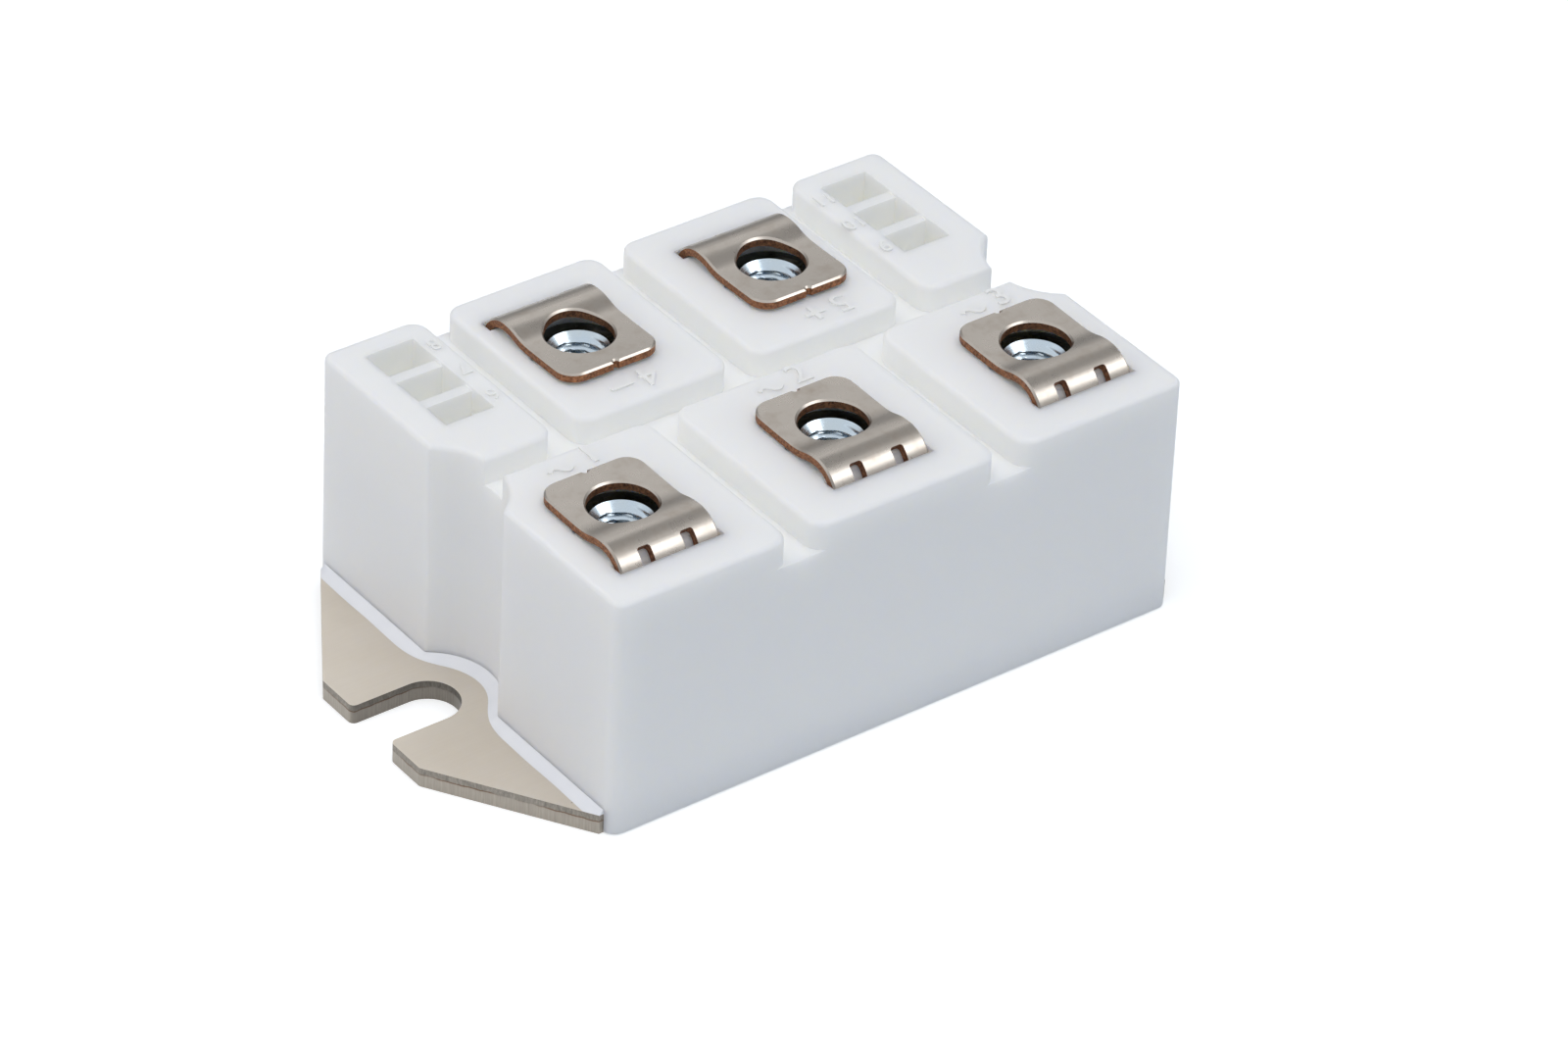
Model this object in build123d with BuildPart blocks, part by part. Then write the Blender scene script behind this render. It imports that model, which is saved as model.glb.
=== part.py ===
from build123d import *
import math
import os

# Three-phase bridge rectifier module with five screw terminals.
# The origin is the middle of the base plate's underside, +Z is up, X runs along the module
# and -Y is the side with the three alternating-current terminals. All sizes are millimetres.

# Base plate
plate_thickness = 2.3
plate_side_gap = 0.1
shoulder_overhang = 0.45
tab_end_width = 17.6
tab_corner_radius = 0.4
fixing_axis_reach = 4.0
tab_reach = 7.0
fixing_slot_width = 6.9
slot_mouth_radius = 0.7

# Housing, outside
housing_length = 72.0
housing_width = 53.2
housing_height = 28.5
skirt_thickness = 1.3
skirt_lift = 0.2
draft_angle = 0.5
corner_radius = 1.5
niche_radius = 7.6
niche_edge_radius = 0.6
groove_depth = 3.2
groove_width = 3.1
pad_corner_radius = 1.9
top_edge_radius = 0.55

# Housing, inside
end_wall = 2.4
side_wall = 3.7
inner_corner_radius = 1.0
top_wall = 6.7
boss_radius = 7.0
boss_floor = 1.5
gel_height = 11.0

# Silicone bead between the housing and the plate
bead_gap = 0.3
bead_reach = 1.35
bead_height = 0.55
bead_slope = 60.0
bead_corner_radius = 1.2

# Places of the terminals, inwards from the housing's faces and from the end pads' grooves
end_pad_width = 12.3
front_terminal_inset = 9.8
back_terminal_inset = 9.85
row_inset = 13.0

# Terminal strip: sizes are taken outwards from the screw hole
strip_width = 12.0
strip_thickness = 1.0
strip_gap = 0.2
strip_hole = 7.4
tip_reach = 6.6
tip_rise = 0.2
tip_corner_radius = 2.2
tip_notch_radius = 0.35
flat_end = 0.8
hump_rise = 0.65
bend_radius = 3.9
root_reach = 8.8
window_width = 1.55
window_spacing = 5.2
window_angle = 57.0
window_depth = 0.2
window_corner_radius = 0.35
rim_chamfer = 0.2
leg_width = 6.0
leg_height = 13.0
foot_length = 4.4
foot_bend_radius = 0.7
strip_slot_gap = 0.15
strip_slot_end_gap = 0.45
ridge_side_inset = 0.8
ridge_land = 0.1
ridge_width = 2.0

# Captive nut and its pocket
nut_flats = 10.0
nut_height = 5.0
nut_thread_radius = 2.5
nut_countersink = 0.95
nut_pocket_gap = 0.2
nut_pocket_depth = 5.8
screw_well_radius = 3.6
screw_well_depth = 5.5

# Spare pin pockets
pocket_inset = 6.8
pocket_row_inset = 10.5
pocket_width = 5.9
pocket_length = 4.0
pocket_pitch = 5.37
pocket_depth = 9.0
pocket_wall = 1.4
rib_drop = 0.35

# Insulating substrate and its copper
tile_end_gap = 4.0
tile_side_gap = 0.6
tile_thickness = 0.63
copper_thickness = 0.3
copper_margin = 0.4
island_gap = 1.0
ac_island_edge = -2.2
minus_strip_width = 4.4
minus_column_width = 4.0
foot_margin = 0.6

# Diode chips and the jumpers that join them to the next island
chip_side = 7.0
chip_thickness = 0.35
chip_stagger = 4.5
low_chip_inset = 3.3
high_chip_inset = 0.5
clip_width = 4.5
clip_thickness = 0.4
clip_pad = 4.2
clip_landing = 2.4
clip_arch = 1.7
clip_bend_radius = 0.5
clip_ramp = 1.2
landing_margin = 1.0

# Levels and outlines that follow from the sizes above
pad_top = housing_height
groove_floor = pad_top - groove_depth
ceiling_height = pad_top - top_wall
nut_seat = pad_top - nut_pocket_depth
strip_top = pad_top + strip_gap + strip_thickness
hump_top = strip_top + hump_rise
hump_reach = root_reach - bend_radius
bend_height = hump_top - bend_radius
housing_seat = plate_thickness + bead_gap
fixing_pitch = housing_length + 2 * fixing_axis_reach
plate_length = fixing_pitch + 2 * tab_reach
plate_width = housing_width - 2 * (skirt_thickness + plate_side_gap)
cavity_length = housing_length - 2 * end_wall
cavity_width = housing_width - 2 * side_wall
niches = [(-fixing_pitch / 2, 0), (fixing_pitch / 2, 0)]
end_groove_x = housing_length / 2 - end_pad_width - groove_width / 2
front_x = housing_length / 2 - front_terminal_inset
back_x = end_groove_x - back_terminal_inset
row_offset = housing_width / 2 - row_inset

# The circuit: copper edges, chip rows and the rows where the jumpers land
tile_length = cavity_length - 2 * tile_end_gap
tile_width = cavity_width - 2 * tile_side_gap
tile_base = plate_thickness + copper_thickness
tile_top = tile_base + tile_thickness
island_top = tile_top + copper_thickness
chip_top = island_top + chip_thickness
island_end = tile_length / 2 - copper_margin
island_side = tile_width / 2 - copper_margin
chip_pitch = 2 * island_end / 3
minus_edge = ac_island_edge + island_gap
plus_edge = minus_edge + minus_strip_width + island_gap
minus_block_edge = row_offset + root_reach - foot_length - foot_margin
minus_block_end = foot_margin + leg_width / 2 - back_x
low_chip_row = ac_island_edge - low_chip_inset - chip_side / 2
high_chip_row = plus_edge + high_chip_inset + chip_side / 2
low_clip_landing = minus_edge + minus_strip_width / 2
high_clip_landing = ac_island_edge - landing_margin - clip_landing / 2

# Each terminal: its place along the module and its side, -1 for the front row and 1 for the back
terminals = {
    "ac_1": (-front_x, -1),
    "ac_2": (0, -1),
    "ac_3": (front_x, -1),
    "minus": (-back_x, 1),
    "plus": (back_x, 1),
}
screw_places = [(x, side * row_offset) for x, side in terminals.values()]
parts = {}


def strip_plane(x, side):
    """Plane that cuts a strip along its middle: its x runs outwards from the screw axis, its y up."""
    return Plane(origin=(x, side * row_offset, 0), x_dir=(0, side, 0), z_dir=(side, 0, 0))


def finish(name, part):
    """Label one piece and keep it for the export."""
    part.label = name
    parts[name] = part


def outline_points(length, end_width, shoulder, width):
    """Corners of a plate with tapered ends, once round."""
    quarter = [(length / 2, end_width / 2), (shoulder, width / 2)]
    right = [(x, -y) for x, y in quarter[::-1]] + quarter
    return right + [(-x, -y) for x, y in right]


plate_outline = outline_points(
    plate_length, tab_end_width, housing_length / 2 + shoulder_overhang, plate_width
)

# Base plate: punched copper with tapered tabs and a U-slot open to each end
with BuildPart() as base_plate:
    with BuildSketch() as plate_sketch:
        Polygon(*plate_outline, align=None)
        with Locations(*[(s * plate_length / 2, 0) for s in (-1, 1)]):
            SlotCenterToCenter(2 * tab_reach, fixing_slot_width, mode=Mode.SUBTRACT)
        ends = plate_sketch.vertices().filter_by_position(
            Axis.Y, -tab_end_width / 2, tab_end_width / 2
        )
        mouth = [v for v in ends if abs(abs(v.Y) - fixing_slot_width / 2) < 0.01]
        mouth = [v for v in mouth if abs(abs(v.X) - plate_length / 2) < 0.01]
        fillet(mouth, slot_mouth_radius)
        tips = [v for v in plate_sketch.vertices() if abs(abs(v.Y) - tab_end_width / 2) < 0.01]
        fillet(tips, tab_corner_radius)
    extrude(amount=plate_thickness)
finish("base_plate", base_plate.part)

# Housing: a drafted block with two screw niches, then the grooves that part its top into pads
niche_edge_x = fixing_pitch / 2 - niche_radius
with BuildPart() as housing:
    with BuildSketch(Plane.XY.offset(skirt_lift)) as block_sketch:
        Rectangle(housing_length, housing_width)
        with Locations(*niches):
            Circle(niche_radius, mode=Mode.SUBTRACT)
        fillet(block_sketch.vertices().group_by(Axis.Y)[0], corner_radius)
        fillet(block_sketch.vertices().group_by(Axis.Y)[-1], corner_radius)
        niche_edges = block_sketch.vertices().filter_by_position(
            Axis.Y, -niche_radius, niche_radius
        )
        fillet(niche_edges, niche_edge_radius)
    extrude(amount=pad_top - skirt_lift, taper=draft_angle)

    front_grooves = [(s * front_x / 2, -housing_width / 4) for s in (-1, 1)]
    back_grooves = [(x, housing_width / 4) for x in (-end_groove_x, 0, end_groove_x)]
    with BuildSketch(Plane.XY.offset(groove_floor)):
        Rectangle(housing_length, groove_width)
        with Locations(*front_grooves, *back_grooves):
            Rectangle(groove_width, housing_width / 2)
    extrude(amount=groove_depth, mode=Mode.SUBTRACT)
    upright = housing.edges(Select.LAST).filter_by(Axis.Z, tolerance=2)
    fillet([e for e in upright if abs(e.center().X) < niche_edge_x - 1], pad_corner_radius)
    for pad in housing.faces().group_by(Axis.Z)[-1]:
        fillet(pad.edges(), top_edge_radius)

    # The cavity follows the end walls round the niches, and the plate lies between the two skirts
    with BuildSketch(Plane.XY) as cavity_sketch:
        Rectangle(cavity_length, cavity_width)
        with Locations(*niches):
            Circle(niche_radius + end_wall, mode=Mode.SUBTRACT)
        fillet(cavity_sketch.vertices().group_by(Axis.Y)[0], inner_corner_radius)
        fillet(cavity_sketch.vertices().group_by(Axis.Y)[-1], inner_corner_radius)
    extrude(amount=ceiling_height, mode=Mode.SUBTRACT)
    with BuildSketch(Plane.XY):
        Rectangle(housing_length, plate_width + 2 * plate_side_gap)
    extrude(amount=housing_seat, mode=Mode.SUBTRACT)

    # Nut bosses and the blocks round the pin pockets hang from the ceiling
    pocket_centre = housing_length / 2 - pocket_inset
    pocket_row_middle = housing_width / 2 - pocket_row_inset
    boss_bottom = nut_seat - screw_well_depth - boss_floor
    with BuildSketch(Plane.XY.offset(boss_bottom)):
        with Locations(*screw_places):
            Circle(boss_radius)
    extrude(amount=ceiling_height - boss_bottom)
    block_bottom = pad_top - pocket_depth - pocket_wall
    block_inner = pocket_centre - pocket_width / 2 - pocket_wall
    block_outer = (housing_length - end_wall) / 2
    block_low = pocket_row_middle - pocket_pitch - pocket_length / 2 - pocket_wall
    block_high = (housing_width - side_wall) / 2
    with BuildSketch(Plane.XY.offset(block_bottom)):
        block_y = (block_low + block_high) / 2
        with Locations(*[(s * (block_inner + block_outer) / 2, block_y) for s in (-1, 1)]):
            Rectangle(block_outer - block_inner, block_high - block_low)
    extrude(amount=ceiling_height - block_bottom)

    # Hexagon pockets, screw wells and the slots that the strips come up through
    with BuildSketch(Plane.XY.offset(nut_seat)):
        with Locations(*screw_places):
            RegularPolygon(nut_flats / 2 + nut_pocket_gap, 6, major_radius=False)
    extrude(amount=pad_top - nut_seat, mode=Mode.SUBTRACT)
    with BuildSketch(Plane.XY.offset(nut_seat - screw_well_depth)):
        with Locations(*screw_places):
            Circle(screw_well_radius)
    extrude(amount=screw_well_depth, mode=Mode.SUBTRACT)

    # Beside each slot a ridge stands on the pad: the strip is bent over it, and it shows through
    # the windows. The slot follows the strip round the bend.
    channel_inner = bend_radius - strip_thickness - strip_slot_gap
    channel_outer = bend_radius + strip_slot_gap
    ridge_start = nut_flats / 2 + nut_pocket_gap + ridge_land
    ridge_height = bend_height + channel_inner - pad_top
    with BuildSketch(Plane.XY.offset(pad_top)):
        ridge_row = row_offset + ridge_start + ridge_width / 2
        with Locations(*[(x, s * ridge_row) for x, s in terminals.values()]):
            Rectangle(strip_width - 2 * ridge_side_inset, ridge_width)
    extrude(amount=ridge_height)
    slot_shift = (strip_slot_end_gap - strip_slot_gap) / 2
    slot_planes = [strip_plane(x - s * slot_shift, s) for x, s in terminals.values()]
    with BuildSketch(*slot_planes):
        with Locations((hump_reach, bend_height)):
            Circle(channel_outer)
            Circle(channel_inner, mode=Mode.SUBTRACT)
            Rectangle(channel_outer, channel_outer, align=Align.MIN, mode=Mode.INTERSECT)
        with Locations((hump_reach + channel_inner, ceiling_height)):
            Rectangle(
                channel_outer - channel_inner, bend_height - ceiling_height, align=Align.MIN
            )
    slot_width = strip_width + strip_slot_gap + strip_slot_end_gap
    extrude(amount=slot_width / 2, both=True, mode=Mode.SUBTRACT)

    # Spare pin pockets, three in each end pad, with the ribs between them set slightly low
    pocket_places = [
        (s * pocket_centre, pocket_row_middle + row * pocket_pitch)
        for s in (-1, 1)
        for row in (-1, 0, 1)
    ]
    with BuildSketch(Plane.XY.offset(pad_top - pocket_depth)):
        with Locations(*pocket_places):
            Rectangle(pocket_width, pocket_length)
    extrude(amount=pocket_depth, mode=Mode.SUBTRACT)
    with BuildSketch(Plane.XY.offset(pad_top - rib_drop)):
        with Locations(*[(s * pocket_centre, pocket_row_middle) for s in (-1, 1)]):
            Rectangle(pocket_width, 2 * pocket_pitch)
    extrude(amount=rib_drop, mode=Mode.SUBTRACT)
finish("housing", housing.part)

# Silicone bead: a thin layer under the housing that shows as a sloping fillet along the end walls
with BuildPart() as sealing_bead:
    with BuildSketch(Plane.XY.offset(plate_thickness)) as bead_sketch:
        Rectangle(housing_length + 2 * bead_reach, plate_width)
        with Locations(*niches):
            Circle(niche_radius - bead_reach, mode=Mode.SUBTRACT)
        bead_edges = bead_sketch.vertices().filter_by_position(
            Axis.Y, -niche_radius, niche_radius
        )
        fillet(bead_edges, bead_corner_radius)
    extrude(amount=bead_height, taper=bead_slope)
    with BuildSketch(Plane.XY.offset(plate_thickness)):
        Polygon(*plate_outline, align=None)
    extrude(amount=bead_height, mode=Mode.INTERSECT)
    add(cavity_sketch.sketch)
    extrude(amount=ceiling_height, mode=Mode.SUBTRACT)
    add(housing.part, mode=Mode.SUBTRACT)
finish("sealing_bead", sealing_bead.part)

# Insulating tile, its back copper and the five copper islands of the circuit
with BuildPart() as substrate_back_copper:
    with BuildSketch(Plane.XY.offset(plate_thickness)):
        Rectangle(2 * island_end, 2 * island_side)
    extrude(amount=copper_thickness)
finish("substrate_back_copper", substrate_back_copper.part)

with BuildPart() as substrate_ceramic:
    with BuildSketch(Plane.XY.offset(tile_base)):
        Rectangle(tile_length, tile_width)
    extrude(amount=tile_thickness)
finish("substrate_ceramic", substrate_ceramic.part)


def make_island(name, *blocks):
    """One copper island, from blocks given as low and high corners."""
    with BuildPart() as island:
        with BuildSketch(Plane.XY.offset(tile_top)):
            for low_x, low_y, high_x, high_y in blocks:
                with Locations(((low_x + high_x) / 2, (low_y + high_y) / 2)):
                    Rectangle(high_x - low_x, high_y - low_y)
        extrude(amount=copper_thickness)
    finish(name, island.part)


inner_edge = (chip_pitch - island_gap) / 2
outer_edge = inner_edge + island_gap
ac_spans = [(-island_end, -outer_edge), (-inner_edge, inner_edge), (outer_edge, island_end)]
for number, (low, high) in enumerate(ac_spans, 1):
    make_island(f"island_ac_{number}", (low, -island_side, high, ac_island_edge))
make_island(
    "island_minus",
    (-island_end, minus_edge, island_end, minus_edge + minus_strip_width),
    (-island_end, minus_edge, -island_end + minus_column_width, island_side),
    (-island_end, minus_block_edge, minus_block_end, island_side),
)
make_island(
    "island_plus",
    (
        -island_end + minus_column_width + island_gap,
        plus_edge,
        island_end,
        minus_block_edge - island_gap,
    ),
    (minus_block_end + island_gap, plus_edge, island_end, island_side),
)

# Diode chips: a low one on each AC island and a high one on the plus island


def make_chip(name, x, y):
    """One square diode chip on the islands' level."""
    with BuildPart() as chip:
        with BuildSketch(Plane.XY.offset(island_top)):
            with Locations((x, y)):
                Rectangle(chip_side, chip_side)
        extrude(amount=chip_thickness)
        top = chip.faces().sort_by(Axis.Z)[-1]
        chamfer(top.edges(), chip_thickness / 3)
    finish(name, chip.part)


def make_clip(name, x, chip_row, landing_row):
    """One copper jumper that arches from a chip's top to the next island."""
    way = 1 if landing_row > chip_row else -1
    span = abs(landing_row - chip_row)
    arch_top = island_top + clip_arch
    chip_end = clip_pad / 2
    landing_start = span - clip_landing / 2
    with BuildPart() as clip:
        profile_plane = Plane(origin=(x, chip_row, 0), x_dir=(0, way, 0), z_dir=(way, 0, 0))
        with BuildSketch(profile_plane):
            with BuildLine():
                FilletPolyline(
                    (-chip_end, chip_top),
                    (chip_end, chip_top),
                    (chip_end + clip_ramp, arch_top),
                    (landing_start - clip_ramp, arch_top),
                    (landing_start, island_top),
                    (span + clip_landing / 2, island_top),
                    radius=clip_bend_radius,
                )
                offset(amount=clip_thickness, side=Side.LEFT)
            make_face()
        extrude(amount=clip_width / 2, both=True)
    finish(name, clip.part)


for number in (1, 2, 3):
    middle = (number - 2) * chip_pitch
    low_x = middle - chip_stagger
    high_x = middle + chip_stagger
    make_chip(f"chip_low_{number}", low_x, low_chip_row)
    make_chip(f"chip_high_{number}", high_x, high_chip_row)
    make_clip(f"clip_low_{number}", low_x, low_chip_row, low_clip_landing)
    make_clip(f"clip_high_{number}", high_x, high_chip_row, high_clip_landing)

# Captive nuts


def make_nut(name, x, side):
    """One hexagon nut with a bore that is countersunk from both faces."""
    place = Plane((x, side * row_offset, nut_seat))
    section_plane = Plane(origin=place.origin, x_dir=(1, 0, 0), z_dir=(0, -1, 0))
    screw_axis = Axis(place.origin, (0, 0, 1))
    with BuildPart() as nut:
        with BuildSketch(place):
            RegularPolygon(nut_flats / 2, 6, major_radius=False)
        extrude(amount=nut_height)
        with BuildSketch(section_plane):
            with BuildLine():
                Polyline(
                    (0, 0),
                    (nut_thread_radius + nut_countersink, 0),
                    (nut_thread_radius, nut_countersink),
                    (nut_thread_radius, nut_height - nut_countersink),
                    (nut_thread_radius + nut_countersink, nut_height),
                    (0, nut_height),
                    close=True,
                )
            make_face()
        revolve(axis=screw_axis, mode=Mode.SUBTRACT)
    finish(name, nut.part)


# Terminal strips: stamped flat with a hole, a notch and two windows, then bent


def make_terminal(name, x, side):
    """One strip: foot on its island, riser through the housing, bend and tab over the nut."""
    tip = (-tip_reach, strip_top + tip_rise)
    flat = (flat_end, strip_top)
    hump = (hump_reach, hump_top)
    slope = ((flat_end + hump_reach) / 2, (strip_top + hump_top) / 2)
    shoulder = (root_reach, bend_height)
    foot_outer = foot_bend_radius + strip_thickness
    profile_plane = strip_plane(x, side)
    with BuildPart() as strip:
        with BuildSketch(profile_plane):
            with BuildLine():
                TangentArc(flat, tip, tangent=(-1, 0))
                TangentArc(flat, slope, tangent=(1, 0))
                TangentArc(hump, slope, tangent=(-1, 0))
                TangentArc(hump, shoulder, tangent=(1, 0))
                Line(shoulder, (root_reach, island_top + foot_outer))
                TangentArc(
                    (root_reach, island_top + foot_outer),
                    (root_reach - foot_outer, island_top),
                    tangent=(0, -1),
                )
                Line((root_reach - foot_outer, island_top), (root_reach - foot_length, island_top))
                offset(amount=strip_thickness, side=Side.LEFT)
            make_face()
        extrude(amount=strip_width / 2, both=True)

        # Plan outline with the rounded tip, its notch and the screw hole
        with BuildSketch(Plane((x, side * row_offset, island_top))) as plan:
            with Locations((0, side * (root_reach - tip_reach) / 2)):
                Rectangle(strip_width, root_reach + tip_reach)
            fillet(plan.vertices().sort_by(Axis.Y)[:: side][:2], tip_corner_radius)
            with Locations((0, -side * tip_reach)):
                Circle(tip_notch_radius, mode=Mode.SUBTRACT)
            Circle(strip_hole / 2, mode=Mode.SUBTRACT)
        extrude(amount=hump_top - island_top, mode=Mode.INTERSECT)

        # Two windows stamped where the strip bends, cut square to its surface
        sector = math.radians(window_angle)
        reach = 2 * bend_radius
        window_planes = [profile_plane.offset(s * window_spacing / 2) for s in (-1, 1)]
        with BuildSketch(*window_planes):
            Polygon(
                (hump_reach, bend_height),
                (hump_reach + reach * math.cos(sector), bend_height + reach * math.sin(sector)),
                (hump_reach + reach, bend_height - window_depth),
                (hump_reach, bend_height - window_depth),
                align=None,
            )
        extrude(amount=window_width / 2, both=True, mode=Mode.SUBTRACT)

        # The leg below the housing's top is narrowed
        with BuildSketch(Plane((x, side * row_offset, island_top))):
            with Locations(*[(s * (strip_width + leg_width) / 4, 0) for s in (-1, 1)]):
                Rectangle((strip_width - leg_width) / 2, 2 * root_reach + 1)
        extrude(amount=leg_height, mode=Mode.SUBTRACT)

        # Window corners are round, and the rims on the tab's top are broken by a small chamfer
        across = [e for e in strip.edges() if abs(e.length - strip_thickness) < 0.001]
        bend_walls = [e for e in across if abs(e.center().Y) > row_offset + hump_reach]
        fillet([e for e in bend_walls if e.center().Z > bend_height], window_corner_radius)
        skin = strip.faces().filter_by(lambda f: f.center().Z > strip_top - strip_thickness / 2)
        skin_edges = skin.filter_by(lambda f: f.normal_at().Z > 0.75).edges()
        rims = [e for e in skin_edges if sum(e.is_same(other) for other in skin_edges) == 1]
        chamfer(rims, rim_chamfer)
    finish(name, strip.part)


for name, (x, side) in terminals.items():
    make_nut(f"nut_{name}", x, side)
    make_terminal(f"terminal_{name}", x, side)

# Soft silicone gel round the whole circuit
circuit = [n for n in parts if n.split("_")[0] in ("substrate", "island", "chip", "clip", "terminal")]
with BuildPart() as silicone_gel:
    add(Plane.XY.offset(plate_thickness) * cavity_sketch.sketch)
    extrude(amount=gel_height - plate_thickness)
    for name in circuit:
        add(parts[name], mode=Mode.SUBTRACT)
finish("silicone_gel", silicone_gel.part)

os.makedirs("parts", exist_ok=True)
for name, part in parts.items():
    export_step(part, f"parts/{name}.step")
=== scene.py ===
"""Dressing of the bridge rectifier module: finishes, threaded nuts, sealing bead, relief marks, studio.

The CAD nodes carry the shapes. This script gives each of them the finish of the real material,
replaces the captive nuts by threaded ones and the sealing bead by a wetted fillet, adds the low
relief marks beside the terminals, and sets up the camera and the light.
The module's sizes are in millimetres, which MM turns to metres, and the studio's are in metres.
"""

import logging
import math
from dataclasses import dataclass
from enum import Enum

import bmesh
import bpy
from bpy.types import ID, Material, Mesh, Node, NodeSocket, NodeTree, Object, World
from mathutils import Matrix, Vector


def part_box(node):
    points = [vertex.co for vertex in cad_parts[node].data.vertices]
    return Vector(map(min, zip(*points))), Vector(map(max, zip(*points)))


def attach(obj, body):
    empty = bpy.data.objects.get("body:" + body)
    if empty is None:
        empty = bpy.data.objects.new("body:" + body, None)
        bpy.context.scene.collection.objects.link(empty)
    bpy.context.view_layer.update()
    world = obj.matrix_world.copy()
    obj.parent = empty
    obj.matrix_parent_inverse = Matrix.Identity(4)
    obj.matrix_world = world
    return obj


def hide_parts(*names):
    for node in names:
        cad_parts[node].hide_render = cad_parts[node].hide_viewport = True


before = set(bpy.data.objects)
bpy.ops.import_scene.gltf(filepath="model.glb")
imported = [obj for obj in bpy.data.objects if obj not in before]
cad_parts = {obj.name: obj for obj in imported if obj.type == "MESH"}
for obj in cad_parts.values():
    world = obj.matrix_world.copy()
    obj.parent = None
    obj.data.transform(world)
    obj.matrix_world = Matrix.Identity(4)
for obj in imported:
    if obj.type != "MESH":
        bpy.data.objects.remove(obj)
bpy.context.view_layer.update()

MM = 0.001
BODY = "root"
TERMINALS = ("ac_1", "ac_2", "ac_3", "minus", "plus")
# The housing's own box reaches higher than its pads, to the ridges inside the strips' bends
PAD_TOP = 28.5 * MM
# Nearly all of a noise texture lies between these two values
NOISE = (0.3, 0.7)
UNIT = (0.0, 1.0)
WHITE = "#FFFFFF"

log = logging.getLogger("rectifier")


def linear(hex_colour: str) -> tuple[float, float, float, float]:
    """Turn an sRGB hex colour into linear light.

    Args:
        hex_colour: colour such as "#E8EAEC".

    Returns:
        Red, green, blue and alpha, each from 0 to 1.
    """
    channels = [int(hex_colour[i : i + 2], 16) / 255 for i in (1, 3, 5)]
    light = [c / 12.92 if c <= 0.04045 else ((c + 0.055) / 1.055) ** 2.4 for c in channels]
    return (light[0], light[1], light[2], 1.0)


def add_node(tree: NodeTree, kind: str, inputs: dict | list | None = None, **settings: object) -> Node:
    """Add one node with its settings and links.

    Args:
        tree: node tree that gets the node.
        kind: Blender's type name of the node.
        inputs: value of each input by its name or index, or a list of values in the inputs'
            order. An output socket feeds the input, and a hex colour is turned to linear light.
        **settings: properties of the node itself.

    Returns:
        The new node.
    """
    node = tree.nodes.new(kind)
    for name, value in settings.items():
        setattr(node, name, value)
    given = enumerate(inputs) if isinstance(inputs, list) else (inputs or {}).items()
    for socket, value in given:
        if isinstance(value, NodeSocket):
            tree.links.new(value, node.inputs[socket])
        else:
            node.inputs[socket].default_value = linear(value) if isinstance(value, str) else value
    return node


def empty_tree(block: Material | World) -> NodeTree:
    """Make a material or a world use nodes, and return its emptied tree."""
    block.use_nodes = True
    block.node_tree.nodes.clear()
    return block.node_tree


def end_tree(tree: NodeTree, shapes: NodeSocket, material: Material) -> None:
    """End a Geometry Nodes tree in real geometry with its finish.

    Args:
        tree: the tree.
        shapes: output that holds the geometry.
        material: finish of all of it.
    """
    real = add_node(tree, "GeometryNodeRealizeInstances", [shapes]).outputs[0]
    dressed = add_node(tree, "GeometryNodeSetMaterial", {"Geometry": real, "Material": material})
    add_node(tree, "NodeGroupOutput", [dressed.outputs[0]])


def new_object(name: str, data: ID) -> Object:
    """Make an object of a mesh, curve, lamp or camera, and link it to the scene."""
    made = bpy.data.objects.new(name, data)
    bpy.context.scene.collection.objects.link(made)
    return made


def new_mesh(name: str, points: list, edges: list, faces: list) -> Mesh:
    """Make a mesh of points in metres and the edges and faces between them."""
    mesh = bpy.data.meshes.new(name)
    mesh.from_pydata(points, edges, faces)
    return mesh


def smooth_by_angle(mesh: Mesh, degrees: float) -> None:
    """Shade a mesh smooth, apart from edges sharper than an angle."""
    mesh.polygons.foreach_set("use_smooth", [True] * len(mesh.polygons))
    mesh.set_sharp_from_angle(angle=math.radians(degrees))


def tube_faces(first: int, last: int, size: int) -> list[tuple[int, ...]]:
    """Join rings of vertices into a tube with capped ends.

    Args:
        first: index where the first ring starts.
        last: index where the last ring starts.
        size: vertices in each ring.

    Returns:
        The vertex indices of each face.
    """
    faces = []
    for base in range(first, last, size):
        for k in range(size):
            after = (k + 1) % size
            faces.append((base + k, base + after, base + size + after, base + size + k))
    return [*faces, tuple(range(first, first + size)), tuple(range(last, last + size))]


def closed_object(
    name: str, points: list[Vector], faces: list[tuple[int, ...]], smooth_angle: float
) -> Object:
    """Make a closed mesh object whose place is in its vertices.

    Args:
        name: name of the object and its mesh.
        points: vertices in metres.
        faces: vertex indices of each face.
        smooth_angle: edges sharper than this, in degrees, stay crisp.

    Returns:
        The object, linked to the scene, with its normals pointing outwards.
    """
    mesh = new_mesh(name, points, [], faces)
    shell = bmesh.new()
    shell.from_mesh(mesh)
    bmesh.ops.recalc_face_normals(shell, faces=shell.faces)
    shell.to_mesh(mesh)
    shell.free()
    smooth_by_angle(mesh, smooth_angle)
    return new_object(name, mesh)


def realise(host: Object, tree: NodeTree, values: dict[str, object], smooth_angle: float) -> None:
    """Run Geometry Nodes on an object once and keep the result as its own plain mesh.

    Args:
        host: object whose mesh the nodes start from.
        tree: the nodes.
        values: value of each input by its socket's identifier.
        smooth_angle: edges sharper than this, in degrees, stay crisp.
    """
    modifier = host.modifiers.new(tree.name, "NODES")
    modifier.node_group = tree
    for identifier, value in values.items():
        modifier[identifier] = value
    depsgraph = bpy.context.evaluated_depsgraph_get()
    mesh = bpy.data.meshes.new_from_object(host.evaluated_get(depsgraph), depsgraph=depsgraph)
    host.modifiers.clear()
    host.data = mesh
    smooth_by_angle(mesh, smooth_angle)


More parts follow.
